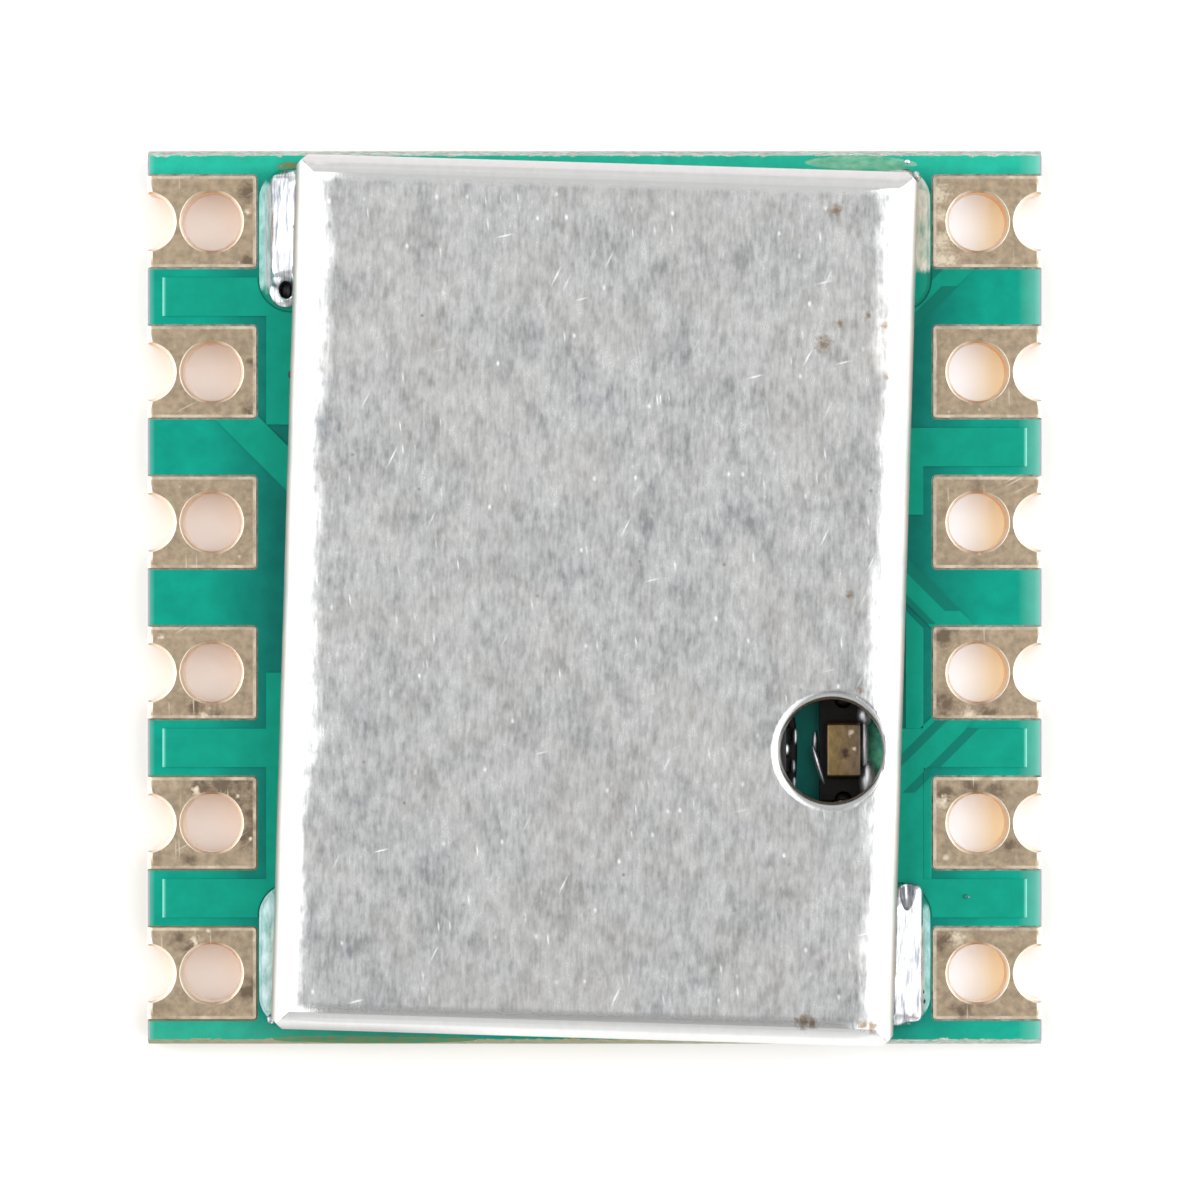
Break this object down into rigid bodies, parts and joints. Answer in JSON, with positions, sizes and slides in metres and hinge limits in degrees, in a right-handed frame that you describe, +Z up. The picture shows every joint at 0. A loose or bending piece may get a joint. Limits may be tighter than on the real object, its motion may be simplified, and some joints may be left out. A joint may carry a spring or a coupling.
{
  "type": "accelerometer module",
  "caption": "Square green circuit board with plated edge pads and pin holes along two sides, and a folded metal can with a round lamp window over its motion sensor.",
  "frame": {"origin": "centre of the board's underside", "axes": "+Z up out of the can's top, +X across the two pad rows towards pads 7 to 12, +Y along the rows towards pads 1 and 7"},
  "size_m": [0.0152, 0.0152, 0.002],
  "materials": {
    "masked_laminate": "green mask on glass-fibre laminate, glossy",
    "masked_copper": "green mask over copper, glossy",
    "gold_plating": "thin gold over nickel, dull and a little tarnished",
    "tinned_copper": "bright tin",
    "tinplate": "fine brushed, with short scratches and small stains",
    "solder": "bright, smooth",
    "mould_compound": "matte black",
    "lamp_base": "white laminate",
    "lamp_die": "dark red crystal",
    "lamp_lens": "clear amber resin",
    "chip_ceramic": "tan ceramic with tinned ends",
    "resistor_glaze": "black glaze with tinned ends"
  },
  "bodies": {
    "root": {"printed_board": "masked_laminate", "top_copper": "masked_copper", "shield_can": "tinplate", "led_base": "lamp_base", "led_terminals": "gold_plating", "led_die": "lamp_die", "led_lens": "lamp_lens", "sensor_chip": "mould_compound", "sensor_leads": "tinned_copper", "controller_chip": "mould_compound", "controller_leads": "tinned_copper", "regulator": "mould_compound", "regulator_leads": "tinned_copper", "pad_01": "gold_plating", "pad_02": "gold_plating", "pad_03": "gold_plating", "pad_04": "gold_plating", "pad_05": "gold_plating", "pad_06": "gold_plating", "pad_07": "gold_plating", "pad_08": "gold_plating", "pad_09": "gold_plating", "pad_10": "gold_plating", "pad_11": "gold_plating", "pad_12": "gold_plating", "plated_slot_1": "tinned_copper", "plated_slot_2": "tinned_copper", "plated_slot_3": "tinned_copper", "plated_slot_4": "tinned_copper", "solder_joint_1": "solder", "solder_joint_2": "solder", "solder_joint_3": "solder", "solder_joint_4": "solder", "capacitor_1": "chip_ceramic", "capacitor_2": "chip_ceramic", "capacitor_3": "chip_ceramic", "capacitor_4": "chip_ceramic", "capacitor_5": "chip_ceramic", "capacitor_6": "chip_ceramic", "resistor_1": "resistor_glaze", "resistor_2": "resistor_glaze", "resistor_3": "resistor_glaze", "resistor_4": "resistor_glaze"}
  },
  "joints": []
}
